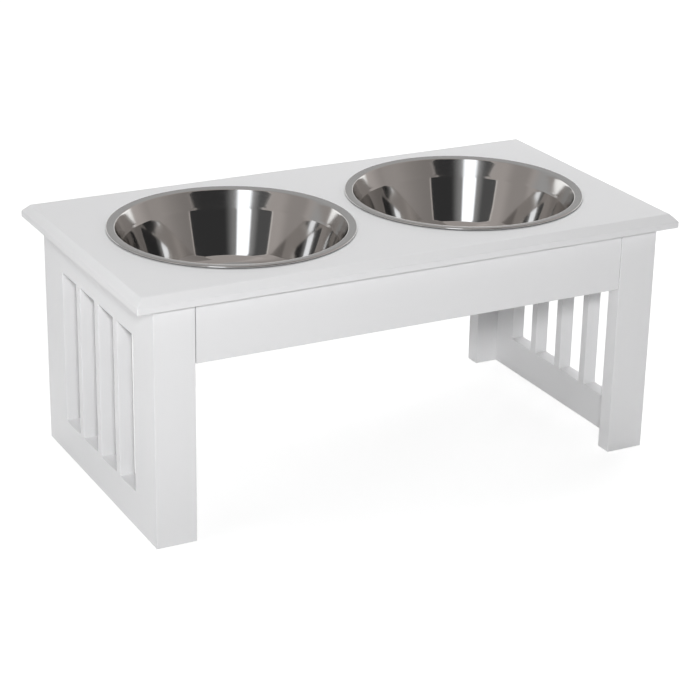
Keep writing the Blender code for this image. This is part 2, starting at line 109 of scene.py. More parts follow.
class Net:
    def __init__(self, tree):
        self.tree = tree

    def add(self, kind, values=None, out=0, **settings):
        node = self.tree.nodes.new(kind)
        for name, value in settings.items():
            setattr(node, name, value)
        for name, value in (values or {}).items():
            if isinstance(value, Wire):
                self.tree.links.new(value.socket, node.inputs[name])
            else:
                node.inputs[name].default_value = value
        return Wire(self, node.outputs[out])

    def end(self, kind, name, wire):
        self.tree.links.new(wire.socket, self.tree.nodes.new(kind).inputs[name])

    def sums(self, operation, *terms):
        return self.add("ShaderNodeMath", dict(enumerate(terms)), operation=operation)

    def vector(self, operation, *terms):
        return self.add("ShaderNodeVectorMath", dict(enumerate(terms)), operation=operation)

    def split(self, place):
        parts = self.add("ShaderNodeSeparateXYZ", {0: place})
        return [parts.out(axis) for axis in "XYZ"]

    def join(self, x, y, z):
        return self.add("ShaderNodeCombineXYZ", {0: x, 1: y, 2: z})

    def blend(self, share, first, second, kind="MIX"):
        # colours only: a Math node would turn them grey
        return self.add(
            "ShaderNodeMix", {0: share, 6: first, 7: second}, out=2, data_type="RGBA", blend_type=kind)

    def noise(self, place, scale, detail, roughness):
        values = {"Vector": place, "Scale": scale, "Detail": detail, "Roughness": roughness}
        return self.add("ShaderNodeTexNoise", values)


# In the settings, a noise has its scale, detail and roughness. An edge has its place and then how far
# the change is eased on both sides of it, and a band has both its edges and then that softness.
def startMaterial(name):
    material = bpy.data.materials.new(name)
    material.use_nodes = True
    material.node_tree.nodes.clear()
    net = Net(material.node_tree)
    place = net.add("ShaderNodeTexCoord", out="Object")
    return material, net, place


def endMaterial(net, relief, strength, depth, values):
    bump = net.add("ShaderNodeBump", {"Strength": strength, "Distance": depth, "Height": relief})
    shader = net.add("ShaderNodeBsdfPrincipled", {**values, "Normal": bump})
    net.end("ShaderNodeOutputMaterial", "Surface", shader)


# White satin paint, rolled on, with the strokes along each board
paint = {
    "colour": (0.845, 0.845, 0.851), "deeper": (0.815, 0.816, 0.826),
    "strokes": (420.0, 3.0, 0.6), "strokeStretch": 0.05,  # a stroke is twenty times as long as it is wide
    "turnSoft": 0.0006,  # how softly the strokes turn from stile to rail
    "mottle": (9.0, 3.0, 0.55), "peel": (950.0, 2.0, 0.5), "rubbed": (160.0, 4.0, 0.65),
    "wearReach": 0.0022, "wear": 2.2, "wearFrom": (0.5, 0.12),
    "mottleTone": 0.55, "strokeTone": 0.3, "wornTone": 0.5,
    "roughness": 0.42, "mottleRough": 0.10, "strokeRough": 0.08, "wornSmooth": 0.06,
    "strokeRelief": 0.65, "peelRelief": 0.35, "bump": 0.35, "bumpDepth": 0.00012,
}


def whitePaint(name, along, rails=None):
    material, net, place = startMaterial(name)

    def strokesAlong(axis):
        stretch = [1.0, 1.0, 1.0]
        stretch[axis] = paint["strokeStretch"]
        return net.noise(net.vector("MULTIPLY", place, tuple(stretch)), *paint["strokes"])

    strokes = strokesAlong(along)
    if rails is not None:
        # the rails of a side lie across its stiles
        y, z = net.split(place)[1:]
        railMask = 1 - z.inside(rails["low"], rails["high"], paint["turnSoft"])
        railMask = railMask * abs(y).below(rails["reach"], paint["turnSoft"])
        strokes = strokes + railMask * (strokesAlong(1) - strokes)
    mottle = net.noise(place, *paint["mottle"])
    peel = net.noise(place, *paint["peel"])
    # the rounded normal leaves the flat one only near an edge, where the paint is rubbed
    edge = net.add("ShaderNodeBevel", {"Radius": paint["wearReach"]}, samples=4)
    flat = net.add("ShaderNodeNewGeometry", out="Normal")
    level = net.vector("DOT_PRODUCT", edge, flat).out("Value")
    rubbed = net.noise(place, *paint["rubbed"]).above(*paint["wearFrom"])
    worn = ((1 - level) * paint["wear"]).least(1.0) * rubbed
    tone = mottle * paint["mottleTone"] + strokes * paint["strokeTone"] + worn * paint["wornTone"]
    colour = net.blend(tone.least(1.0), (*paint["colour"], 1), (*paint["deeper"], 1))
    roughness = paint["roughness"] + (mottle - 0.5) * paint["mottleRough"]
    roughness = roughness + (strokes - 0.5) * paint["strokeRough"] - worn * paint["wornSmooth"]
    relief = strokes * paint["strokeRelief"] + peel * paint["peelRelief"]
    endMaterial(net, relief, paint["bump"], paint["bumpDepth"], {
        "Base Color": colour, "Roughness": roughness, "IOR": 1.5})
    return material


# Polished steel: mirror bright in the bowl, a little hazier on the neck and satin on the flange.
# Heights are above the floor, radii from the bowl's axis.
polish = {
    "bright": (0.650, 0.642, 0.632), "dull": (0.605, 0.597, 0.588),
    "turned": (1500.0, 3.0, 0.7), "coarse": (150.0, 2.0, 0.5), "haze": (22.0, 4.0, 0.6),
    "scuff": (240.0, 5.0, 0.7), "scuffStretch": (1.0, 1.0, 3.0), "scuffFrom": (0.62, 0.05),
    "neck": (0.2375, 0.2545, 0.001), "flangeFrom": (0.2551, 0.0006), "flangeTo": (0.1199, 0.0003),
    # the seat's tone and its share are painted shade along the foot of the curl
    "seatFrom": (0.1203, 0.0003), "seatTop": (0.2551, 0.0003), "seatShadeTone": (0.10, 0.10, 0.10),
    "seatShadeShare": 0.85,
    "roughness": 0.045, "turnedRough": 0.02, "hazeRough": 0.02, "scuffRough": 0.03,
    "neckRough": 0.0225, "neckCoarse": 0.054, "flangeRough": 0.09, "seatRough": 0.4,
    "turnedRelief": 0.25, "neckRelief": 0.35, "flangeRelief": 0.3, "coarseRelief": 0.5,
    "bump": 0.16, "bumpDepth": 0.00003,
}


def polishedSteel(name, centre):
    material, net, place = startMaterial(name)
    local = net.add("ShaderNodeMapping", {"Vector": place, "Location": (-centre.x, -centre.y, 0)})
    x, y, z = net.split(local)
    radius = (x * x + y * y) ** 0.5
    rings = net.join(radius, z, 0.0)
    turned = net.noise(rings, *polish["turned"])
    coarse = net.noise(rings, *polish["coarse"])
    haze = net.noise(local, *polish["haze"])
    scuff = net.noise(net.vector("MULTIPLY", local, polish["scuffStretch"]), *polish["scuff"])
    scuff = scuff.above(*polish["scuffFrom"])
    neck = z.inside(*polish["neck"])
    flange = z.above(*polish["flangeFrom"]) * radius.below(*polish["flangeTo"])
    # painted shade: where the curl sits on the board, its lower outer half is darkened almost to black
    # for the contact shadow and dark reflection there, and is made rougher too
    seat = radius.above(*polish["seatFrom"]) * z.below(*polish["seatTop"])
    roughness = polish["roughness"] + turned * polish["turnedRough"] + haze * polish["hazeRough"]
    roughness = roughness + scuff * polish["scuffRough"]
    roughness = roughness + neck * (polish["neckRough"] + coarse * polish["neckCoarse"])
    roughness = roughness + flange * polish["flangeRough"] + seat * polish["seatRough"]
    colour = net.blend(haze, (*polish["bright"], 1), (*polish["dull"], 1))
    # painted shade: the foot of the curl is darkened towards near black
    colour = net.blend(seat * polish["seatShadeShare"], colour, (*polish["seatShadeTone"], 1))
    grooves = polish["turnedRelief"] + neck * polish["neckRelief"] + flange * polish["flangeRelief"]
    relief = turned * grooves + coarse * polish["coarseRelief"]
    endMaterial(net, relief, polish["bump"], polish["bumpDepth"], {
        "Base Color": colour, "Metallic": 1.0, "Roughness": roughness})
    return material


# Bare beech, for the dowels, with the grain along X
beech = {
    "light": (0.62, 0.44, 0.27), "dark": (0.46, 0.30, 0.17), "fleckTone": (0.30, 0.18, 0.10),
    "grain": (900.0, 4.0, 0.6), "grainStretch": (0.04, 1.0, 1.0),
    "fleck": (2600.0, 1.0, 0.5), "fleckStretch": (0.2, 1.0, 1.0), "fleckFrom": (0.64, 0.04),
    "fleckShare": 0.5, "roughness": 0.62, "grainRough": 0.15, "bump": 0.4, "bumpDepth": 0.0001,
}


def bareBeech(name):
    material, net, place = startMaterial(name)
    grain = net.noise(net.vector("MULTIPLY", place, beech["grainStretch"]), *beech["grain"])
    fleck = net.noise(net.vector("MULTIPLY", place, beech["fleckStretch"]), *beech["fleck"])
    fleck = fleck.above(*beech["fleckFrom"])
    colour = net.blend(grain, (*beech["light"], 1), (*beech["dark"], 1))
    colour = net.blend(fleck * beech["fleckShare"], colour, (*beech["fleckTone"], 1))
    endMaterial(net, grain, beech["bump"], beech["bumpDepth"], {
        "Base Color": colour, "Roughness": beech["roughness"] + grain * beech["grainRough"]})
    return material


# Cast zinc for the cam nuts and plated steel for the bolts
castZinc = {"bright": (0.60, 0.60, 0.61), "dull": (0.46, 0.46, 0.47), "roughness": 0.34}
platedSteel = {"bright": (0.68, 0.67, 0.62), "dull": (0.56, 0.55, 0.50), "roughness": 0.22}
grit = {
    "grains": (1500.0, 4.0, 0.65), "blotch": (260.0, 3.0, 0.6), "grainRough": 0.16,
    "bump": 0.45, "bumpDepth": 0.00008,
}


def grittyMetal(name, metal):
    material, net, place = startMaterial(name)
    grains = net.noise(place, *grit["grains"])
    blotch = net.noise(place, *grit["blotch"])
    endMaterial(net, grains, grit["bump"], grit["bumpDepth"], {
        "Base Color": net.blend(blotch, (*metal["bright"], 1), (*metal["dull"], 1)),
        "Metallic": 1.0, "Roughness": metal["roughness"] + grains * grit["grainRough"]})
    return material


# Meshes
overrun = 0.001  # how far a cutter stands out of the face it starts from


def meshOf(work, name):
    mesh = bpy.data.meshes.new(name)
    work.to_mesh(mesh)
    work.free()
    return mesh


def linkObject(name, data):
    thing = bpy.data.objects.new(name, data)
    bpy.context.scene.collection.objects.link(thing)
    return thing


def settle(thing):
    # what the modifiers leave, as a plain mesh at the origin
    bpy.context.view_layer.update()
    evaluated = thing.evaluated_get(bpy.context.evaluated_depsgraph_get())
    mesh = bpy.data.meshes.new_from_object(evaluated)
    mesh.name = thing.name
    thing.modifiers.clear()
    thing.data = mesh


def blockBetween(low, high):
    work = bmesh.new()
    bmesh.ops.create_cube(work, size=1)
    bmesh.ops.scale(work, vec=high - low, verts=work.verts)
    bmesh.ops.translate(work, vec=(low + high) / 2, verts=work.verts)
    return work


def cutAway(thing, work, crossing=False):
    # takes the solids in work out of thing; crossing is for solids that run into each other
    cutter = linkObject("cutter", meshOf(work, "cutter"))
    step = thing.modifiers.new("cut", "BOOLEAN")
    step.operation, step.solver, step.object = "DIFFERENCE", "EXACT", cutter
    step.use_self = crossing
    settle(thing)
    bpy.data.objects.remove(cutter)


def cutBores(thing, bores, facets=40):
    # bores: where each starts, which way it goes, its radius and its depth
    work = bmesh.new()
    for start, direction, radius, depth in bores:
        length = depth + overrun
        middle = start - direction * overrun + direction * length / 2
        turn = direction.to_track_quat("Z", "Y").to_matrix().to_4x4()
        bmesh.ops.create_cone(
            work, cap_ends=True, segments=facets, radius1=radius, radius2=radius, depth=length,
            matrix=Matrix.Translation(middle) @ turn)
    cutAway(thing, work, crossing=True)


def roundEdges(thing, width):
    step = thing.modifiers.new("rounded", "BEVEL")
    step.width = width
    step.segments = 3
    step.limit_method = "ANGLE"
    step.angle_limit = radians(30)
    step.harden_normals = True
    for polygon in thing.data.polygons:
        polygon.use_smooth = True
    settle(thing)


def newTree(name, inputs):
    tree = bpy.data.node_groups.new(name, "GeometryNodeTree")
    tree.interface.new_socket("Geometry", in_out="INPUT", socket_type="NodeSocketGeometry")
    for label, kind in inputs.items():
        tree.interface.new_socket(label, in_out="INPUT", socket_type="NodeSocket" + kind)
    tree.interface.new_socket("Geometry", in_out="OUTPUT", socket_type="NodeSocketGeometry")
    net = Net(tree)
    given = net.add("NodeGroupInput")
    return tree, net, given


def endTree(net, shape, material):
    shape = net.add("GeometryNodeRealizeInstances", {"Geometry": shape})
    shape = net.add("GeometryNodeSetMaterial", {"Geometry": shape, "Material": material})
    net.end("NodeGroupOutput", "Geometry", shape)


def useTree(thing, tree, values):
    step = thing.modifiers.new(tree.name, "NODES")
    step.node_group = tree
    for item in tree.interface.items_tree:
        if item.in_out == "INPUT" and item.name in values:
            step[item.identifier] = values[item.name]
    settle(thing)


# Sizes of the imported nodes, which every piece keeps to
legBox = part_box("front_left_leg")
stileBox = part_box("left_front_stile")
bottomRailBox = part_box("left_bottom_rail")
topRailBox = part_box("left_top_rail")
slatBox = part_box("left_slat_2")
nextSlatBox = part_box("left_slat_3")
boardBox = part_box("top_board")
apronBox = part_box("front_apron")
bowlCentres = {}
for side in ("left", "right"):
    low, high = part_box(side + "_bowl")
    bowlCentres[side] = (low + high) / 2

# Bores for the hidden fittings: cam nuts, their bolts, the bolts' threads and the dowels
fittings = {
    "camRadius": 0.0078, "camDepth": 0.0123, "camReach": 0.024, "camAxisDepth": 0.0075,
    "boltRadius": 0.0038, "threadRadius": 0.0033, "threadDepth": 0.0113,
    "dowelRadius": 0.0043, "dowelDepth": 0.0155,
    "apronCamHeight": 0.1977, "apronDowelHeight": 0.2217, "boardCamY": 0.0594,
}


# Side panels: legs, stiles, rails and slats as one, because the paint runs over every seam
sidePanel = {
    "legWidth": legBox[1].x - legBox[0].x,
    "legDepth": legBox[1].y - legBox[0].y,
    "height": legBox[1].z,
    "depth": -2 * legBox[0].y,
    "thickness": stileBox[1].x - stileBox[0].x,
    "slotCount": 4,
    "slotPitch": nextSlatBox[0].y - slatBox[0].y,
    "slotWidth": nextSlatBox[0].y - slatBox[1].y,
    "slotBottom": bottomRailBox[1].z,
    "slotTop": topRailBox[0].z,
    "ease": 0.0005,
    "weld": 0.00001,
    "flatWithin": 0.01,
}


def slottedPanelTree():
    lengths = ("legWidth", "legDepth", "height", "depth", "thickness",
               "slotPitch", "slotWidth", "slotBottom", "slotTop", "outward")
    tree, net, given = newTree("slottedPanel", {
        **dict.fromkeys(lengths, "Float"), "slotCount": "Int", "paint": "Material"})
    width, height, depth = given.out("legWidth"), given.out("height"), given.out("depth")
    count, pitch = given.out("slotCount"), given.out("slotPitch")

    def block(x, y, z):
        return net.add("GeometryNodeMeshCube", {"Size": net.join(x, y, z)})

    def moved(shape, x, y, z):
        return net.add("GeometryNodeTransform", {"Geometry": shape, "Translation": net.join(x, y, z)})

    def without(shape, cutter):
        return net.add(
            "GeometryNodeMeshBoolean", {"Mesh 1": shape, "Mesh 2": cutter},
            operation="DIFFERENCE", solver="EXACT")

    blank = moved(block(width, depth, height), 0.0, 0.0, height / 2)
    # behind the legs the panel is only as thick as its rails
    recess = block(width, depth - 2 * given.out("legDepth"), height * 1.2)
    recess = moved(recess, -given.out("outward") * given.out("thickness"), 0.0, height / 2)
    # one slot cutter on each point of a row
    slotHeight = given.out("slotTop") - given.out("slotBottom")
    slot = block(width * 2, given.out("slotWidth"), slotHeight)
    first = net.join(0.0, (count - 1) * pitch * -0.5, given.out("slotBottom") + slotHeight / 2)
    row = net.add("GeometryNodeMeshLine", {
        "Count": count, "Start Location": first, "Offset": net.join(0.0, pitch, 0.0)}, mode="OFFSET")
    slots = net.add("GeometryNodeInstanceOnPoints", {"Points": row, "Instance": slot})
    slots = net.add("GeometryNodeRealizeInstances", {"Geometry": slots})
    endTree(net, without(without(blank, recess), slots), given.out("paint"))
    return tree


def makeSidePanel(side, sign, tree, material):
    panel = linkObject(side + "SidePanel", bpy.data.meshes.new(side + "SidePanel"))
    useTree(panel, tree, {**sidePanel, "outward": float(sign), "paint": material})
    middle = sign * (abs(legBox[0].x) + abs(legBox[1].x)) / 2
    panel.data.transform(Matrix.Translation((middle, 0, 0)))
    work = bmesh.new()
    work.from_mesh(panel.data)
    bmesh.ops.remove_doubles(work, verts=work.verts, dist=sidePanel["weld"])
    bmesh.ops.dissolve_limit(
        work, angle_limit=sidePanel["flatWithin"], verts=work.verts, edges=work.edges)
    work.to_mesh(panel.data)
    work.free()
    roundEdges(panel, sidePanel["ease"])
    # cam nuts and bolts that hold the board; dowels and bolt threads from the aprons
    innerFace = sign * abs(stileBox[1].x)
    outward = Vector((sign, 0, 0))
    bores = []
    for way in (-1, 1):
        camY = way * fittings["boardCamY"]
        cam = Vector((innerFace, camY, boardBox[0].z - fittings["camReach"]))
        bolt = Vector((innerFace + sign * fittings["camAxisDepth"], camY, boardBox[0].z))
        inLeg = Vector((sign * abs(legBox[1].x), way * apron["middle"], 0))
        dowel = inLeg + Vector((0, 0, fittings["apronDowelHeight"]))
        thread = inLeg + Vector((0, 0, fittings["apronCamHeight"]))
        bores += [
            (cam, outward, fittings["camRadius"], fittings["camDepth"]),
            (bolt, Vector((0, 0, -1)), fittings["boltRadius"], fittings["camReach"]),
            (dowel, outward, fittings["dowelRadius"], fittings["dowelDepth"]),
            (thread, outward, fittings["threadRadius"], fittings["threadDepth"]),
        ]
    cutBores(panel, bores)
    names = [side + "_top_rail", side + "_bottom_rail"]
    names += ["%s_slat_%d" % (side, number) for number in (1, 2, 3)]
    for end in ("front", "back"):
        names += ["%s_%s_leg" % (end, side), "%s_%s_stile" % (side, end)]
        for level in ("bottom", "top"):
            names += ["%s_%s_rail_%s_%s_dowel" % (side, level, end, row) for row in ("lower", "upper")]
    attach(panel, "frame")
    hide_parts(*names)


# Aprons, front and back, drawn up tight to the right legs, so that the open joint is at the left ones
apron = {
    "ease": 0.0006, "openJoint": 0.0009,
    "camInset": 0.0237,  # from the end of the apron to the middle of its cam nut
    "middle": -(apronBox[0].y + apronBox[1].y) / 2,
}


def makeApron(end, way, material):
    reach = apronBox[1].x
    left, right = -reach + apron["openJoint"], reach
    inner, outer = way * abs(apronBox[1].y), way * abs(apronBox[0].y)
    low = Vector((left, min(inner, outer), apronBox[0].z))
    high = Vector((right, max(inner, outer), apronBox[1].z))
    mesh = meshOf(blockBetween(low, high), end + "Apron")
    mesh.materials.append(material)
    piece = linkObject(end + "Apron", mesh)
    roundEdges(piece, apron["ease"])
    bores = []
    for sign, face in ((-1, left), (1, right)):
        inward = Vector((-sign, 0, 0))
        cam = Vector((sign * (reach - apron["camInset"]), inner, fittings["apronCamHeight"]))
        bolt = Vector((face, inner + way * fittings["camAxisDepth"], fittings["apronCamHeight"]))
        dowel = Vector((face, way * apron["middle"], fittings["apronDowelHeight"]))
        bores += [
            (cam, Vector((0, way, 0)), fittings["camRadius"], fittings["camDepth"]),
            (bolt, inward, fittings["boltRadius"], fittings["camReach"]),
            (dowel, inward, fittings["dowelRadius"], fittings["dowelDepth"]),
        ]
    cutBores(piece, bores)
    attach(piece, "frame")
    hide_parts(end + "_apron")


# Top board, chamfered all round, with two holes for the bowls
topBoard = {
    "chamfer": 0.0072, "ease": 0.0009,
    "holeRadius": 0.1155, "holeEase": 0.0006, "holeFacets": 160, "threadFacets": 16,
}


def holeCutters(low, high):
    # each flares a little at both ends, which eases the hole's edges
    radius, ease, count = topBoard["holeRadius"], topBoard["holeEase"], topBoard["holeFacets"]
    flared = radius + ease + overrun
    levels = [(low - overrun, flared), (low + ease, radius),
              (high - ease, radius), (high + overrun, flared)]
    turns = [2 * pi * step / count for step in range(count)]
    work = bmesh.new()
    for centre in bowlCentres.values():
        rings = []
        for z, reach in levels:
            ring = [(centre.x + reach * cos(turn), centre.y + reach * sin(turn), z) for turn in turns]
            rings.append([work.verts.new(point) for point in ring])
        for lower, higher in zip(rings, rings[1:]):
            for step in range(count):
                after = (step + 1) % count
                work.faces.new((lower[step], lower[after], higher[after], higher[step]))
        work.faces.new(list(reversed(rings[0])))
        work.faces.new(rings[-1])
    return work


def makeTopBoard(material):
    low, high = boardBox
    work = blockBetween(low, high)
    half = (low.z + high.z) / 2
    upper = [edge for edge in work.edges if all(vertex.co.z > half for vertex in edge.verts)]
    bmesh.ops.bevel(work, geom=upper, offset=topBoard["chamfer"], segments=1, affect="EDGES")
    mesh = meshOf(work, "topBoard")
    mesh.materials.append(material)
    board = linkObject("topBoard", mesh)
    roundEdges(board, topBoard["ease"])
    cutAway(board, holeCutters(low.z, high.z))
    threadX = abs(stileBox[1].x) + fittings["camAxisDepth"]
    bores = []
    for sign in (-1, 1):
        for way in (-1, 1):
            thread = Vector((sign * threadX, way * fittings["boardCamY"], low.z))
            bores.append((thread, Vector((0, 0, 1)), fittings["threadRadius"], fittings["threadDepth"]))
    cutBores(board, bores, topBoard["threadFacets"])
    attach(board, "frame")
    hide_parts("top_board")


# Bowls, turned from one profile. Lengths in metres, height 0 at the foot of the curl.
bowl = {
    "rimRadius": 0.122, "flangeWidth": 0.0088, "flangeFall": 0.0007,
    "curlRadius": 0.0012, "curlTurn": radians(270), "sheet": 0.0007,
    "neckCorner": 0.0015, "neckDepth": 0.0145, "neckTaper": radians(22), "neckBulge": 0.00012,
    "stepWidth": 0.0011, "stepHeight": 0.0023, "stepFillets": (0.0022, 0.0016),
    "wallTaper": radians(18.3), "wallHollow": 0.00035, "floorCorner": 0.018, "depth": 0.072,
    "baseRadius": 0.062, "baseRise": 0.0008, "baseSlope": 0.002, "baseFillet": 0.002,
    "footHeight": 0.2543, "facets": 224, "weld": 0.000005, "sharpFrom": radians(40),
}


def arcPoints(centre, radius, start, end, steps):
    turns = [start + (end - start) * step / steps for step in range(steps + 1)]
    return [(centre[0] + radius * cos(turn), centre[1] + radius * sin(turn)) for turn in turns]


def filleted(points, radii, steps):
    # rounds the corners of a line: radii has one for each point, 0 to leave it sharp
    done = []
    for index, (point, radius) in enumerate(zip(points, radii)):
        if radius == 0:
            done.append(point)
            continue
        here = Vector(point)
        back = (Vector(points[index - 1]) - here).normalized()
        ahead = (Vector(points[index + 1]) - here).normalized()
        reach = radius / tan(back.angle(ahead) / 2)
        first, last = here + back * reach, here + ahead * reach
        for step in range(steps + 1):
            share = step / steps
            curve = first.lerp(here, share).lerp(here.lerp(last, share), share)
            done.append((curve.x, curve.y))
    return done


def bowed(first, last, depth, steps):
    # a line from first to last, bowed to its left by depth at the middle, without its ends
    first, last = Vector(first), Vector(last)
    along = last - first
    left = Vector((-along.y, along.x)).normalized()
    points = []
    for step in range(1, steps):
        share = step / steps
        point = first.lerp(last, share) + left * depth * 4 * share * (1 - share)
        points.append((point.x, point.y))
    return points


def bowlLine():
    # the food side of the sheet, from the middle of the floor out to the end of the curl
    flangeHeight = 2 * bowl["curlRadius"] - bowl["flangeFall"]
    neckCentre = (bowl["rimRadius"] - bowl["flangeWidth"] + bowl["neckCorner"],
                  flangeHeight - bowl["neckCorner"])
    neckTop = arcPoints(neckCentre, bowl["neckCorner"], pi - bowl["neckTaper"], pi / 2, steps=8)
    curlCentre = (bowl["rimRadius"] - bowl["curlRadius"], bowl["curlRadius"])
    stepBottom = -bowl["neckDepth"] - bowl["stepHeight"]
    stepRadius = neckTop[0][0] - (neckTop[0][1] + bowl["neckDepth"]) * tan(bowl["neckTaper"])
    wallRadius = stepRadius - bowl["stepWidth"]
    # where the wall runs into the corner of the floor
    floor = bowl["sheet"] - bowl["depth"]
    corner, taper = bowl["floorCorner"], bowl["wallTaper"]
    cornerHeight = floor + corner
    tangentRadius = wallRadius - (stepBottom - cornerHeight + corner * sin(taper)) * tan(taper)
    cornerCentre = (tangentRadius - corner * cos(taper), cornerHeight)
    raised = floor + bowl["baseRise"]
    base = [(0, raised), (bowl["baseRadius"] - bowl["baseSlope"], raised), (bowl["baseRadius"], floor),
            (cornerCentre[0], floor)]
    points = [(bowl["baseRadius"] * step / 8, raised) for step in range(8)]
    points += filleted(base, [0, bowl["baseFillet"], bowl["baseFillet"], 0], steps=5)[1:-1]
    points += arcPoints(cornerCentre, corner, -pi / 2, -taper, steps=20)
    neck = [points[-1], (wallRadius, stepBottom), (stepRadius, -bowl["neckDepth"]), neckTop[0]]
    climb = filleted(neck, [0, *bowl["stepFillets"], 0], steps=6)[1:-1]
    points += bowed(points[-1], climb[0], -bowl["wallHollow"], steps=14)
    points += climb
    points += bowed(climb[-1], neckTop[0], -bowl["neckBulge"], steps=8)
    points += neckTop
    points += arcPoints(curlCentre, bowl["curlRadius"], pi / 2, pi / 2 - bowl["curlTurn"], steps=22)
    return points


def turnedTree():
    # every point of the line goes round on its own ring: a grid whose columns are turns of the line
    tree, net, given = newTree("turnedBowl", {"facets": "Int", "rings": "Int", "steel": "Material"})
    facets, rings = given.out("facets"), given.out("rings")
    grid = net.add("GeometryNodeMeshGrid", {
        "Size X": 1.0, "Size Y": 1.0, "Vertices X": facets + 1, "Vertices Y": rings})
    index = net.add("GeometryNodeInputIndex")
    column = net.sums("FLOOR", (index + 0.5) / rings)
    ring = net.sums("ROUND", index - column * rings)
    place = net.add("GeometryNodeInputPosition")
    line = net.add(
        "GeometryNodeSampleIndex", {"Geometry": given.out("Geometry"), "Value": place, "Index": ring},
        data_type="FLOAT_VECTOR", domain="POINT")
    turn = column * (2 * pi) / facets
    around = net.add("ShaderNodeVectorRotate", {"Vector": line, "Angle": turn}, rotation_type="Z_AXIS")
    shape = net.add("GeometryNodeSetPosition", {"Geometry": grid, "Position": around})
    shape = net.add("GeometryNodeMergeByDistance", {"Geometry": shape, "Distance": bowl["weld"]})
    shape = net.add("GeometryNodeSetShadeSmooth", {"Geometry": shape})
    endTree(net, shape, given.out("steel"))
    return tree


def makeBowl(side, tree, material):
    points = bowlLine()
    mesh = bpy.data.meshes.new(side + "SteelBowl")
    edges = [(index, index + 1) for index in range(len(points) - 1)]
    mesh.from_pydata([(radius, 0, height) for radius, height in points], edges, [])
    piece = linkObject(side + "SteelBowl", mesh)
    useTree(piece, tree, {"facets": bowl["facets"], "rings": len(points), "steel": material})
    work = bmesh.new()
    work.from_mesh(piece.data)
    bmesh.ops.remove_doubles(work, verts=work.verts, dist=bowl["weld"])
    bmesh.ops.recalc_face_normals(work, faces=work.faces)
    floorFace = min(work.faces, key=lambda face: face.calc_center_median().xy.length)
    if floorFace.normal.z < 0:
        bmesh.ops.reverse_faces(work, faces=work.faces)
    work.to_mesh(piece.data)
    work.free()
    step = piece.modifiers.new("sheet", "SOLIDIFY")
    step.thickness = bowl["sheet"]
    step.offset = -1
    settle(piece)
    centre = bowlCentres[side]
    piece.data.transform(Matrix.Translation((centre.x, centre.y, bowl["footHeight"])))
    piece.data.shade_smooth()
    piece.data.set_sharp_from_angle(angle=bowl["sharpFrom"])
    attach(piece, side + "_bowl")
    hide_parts(side + "_bowl")


# Camera, at the photograph's viewing angle. Angles are in degrees.
cameraView = {
    "azimuth": -28.01, "elevation": 22.03, "roll": 1.14, "place": (-0.9383, -1.7642, 0.9127),
    "focalPixels": 2100.47, "imagePixels": 696, "sensor": 36.0, "farthest": 60.0,
}


def wayFrom(azimuth, elevation):
    # from the origin towards a place round the table, azimuth 0 to the front and growing to the right
    a, e = radians(azimuth), radians(elevation)
    return Vector((sin(a) * cos(e), -cos(a) * cos(e), sin(e)))


def makeCamera():
    back = wayFrom(cameraView["azimuth"], cameraView["elevation"])
    a, r = radians(cameraView["azimuth"]), radians(cameraView["roll"])
    right = Vector((cos(a), sin(a), 0))
    up = back.cross(right)
    level = right * cos(r) + up * sin(r)
    upright = up * cos(r) - right * sin(r)
    data = bpy.data.cameras.new("camera")
    data.sensor_width = cameraView["sensor"]
    data.lens = cameraView["focalPixels"] / cameraView["imagePixels"] * data.sensor_width
    data.clip_end = cameraView["farthest"]
    camera = linkObject("camera", data)
    turn = Matrix((level, upright, back)).transposed()
    camera.matrix_world = Matrix.Translation(cameraView["place"]) @ turn.to_4x4()
    bpy.context.scene.camera = camera


# Pale floor. The camera sees it lit from within, so that it runs into the white background.
studioFloor = {
    "radius": 12.0, "drop": 0.0002,
    "colour": (0.88, 0.88, 0.88), "seenColour": (0.45, 0.45, 0.45),
    "glowNear": 0.75, "glowFar": 0.975, "farFrom": (1.1, 0.7), "facets": 96,
}


def makeFloor():
    work = bmesh.new()
    bmesh.ops.create_circle(
        work, cap_ends=True, segments=studioFloor["facets"], radius=studioFloor["radius"])
    floor = linkObject("studioFloor", meshOf(work, "studioFloor"))
    floor.location.z = -studioFloor["drop"]
    material, net, place = startMaterial("paleFloor")
    plain = net.add("ShaderNodeBsdfDiffuse", {"Color": (*studioFloor["colour"], 1)})
    seen = net.add("ShaderNodeBsdfDiffuse", {"Color": (*studioFloor["seenColour"], 1)})
    far = net.vector("LENGTH", place).out("Value").above(*studioFloor["farFrom"])
    level = studioFloor["glowNear"] + far * (studioFloor["glowFar"] - studioFloor["glowNear"])
    glow = net.add("ShaderNodeEmission", {"Color": net.join(level, level, level), "Strength": 1.0})
    seen = net.add("ShaderNodeAddShader", {0: seen, 1: glow})
    path = net.add("ShaderNodeLightPath", out="Is Camera Ray")
    shader = net.add("ShaderNodeMixShader", {0: path, 1: plain, 2: seen})
    net.end("ShaderNodeOutputMaterial", "Surface", shader)
    floor.data.materials.append(material)


# Soft boxes round the table, turned to a point just above the floor, and a little even light
studioLight = {"soft": 0.04, "aim": (0, 0, 0.1)}
lamps = {
    "keyLamp": {"azimuth": -27, "elevation": 26.3, "distance": 2.1, "size": 0.2, "power": 20.7},
    "leftLamp": {"azimuth": -85, "elevation": 6, "distance": 1.8, "size": 0.9, "power": 7.4},
    "leftHighLamp": {"azimuth": -80, "elevation": 38, "distance": 1.8, "size": 1.0, "power": 3.8},
    "rightLamp": {"azimuth": 40, "elevation": 20, "distance": 1.8, "size": 1.0, "power": 1.4},
    "topLamp": {"azimuth": 150, "elevation": 65, "distance": 1.8, "size": 1.2, "power": 16.6},
    "backLamp": {"azimuth": 118, "elevation": 12, "distance": 1.8, "size": 0.9, "power": 15.0},
}


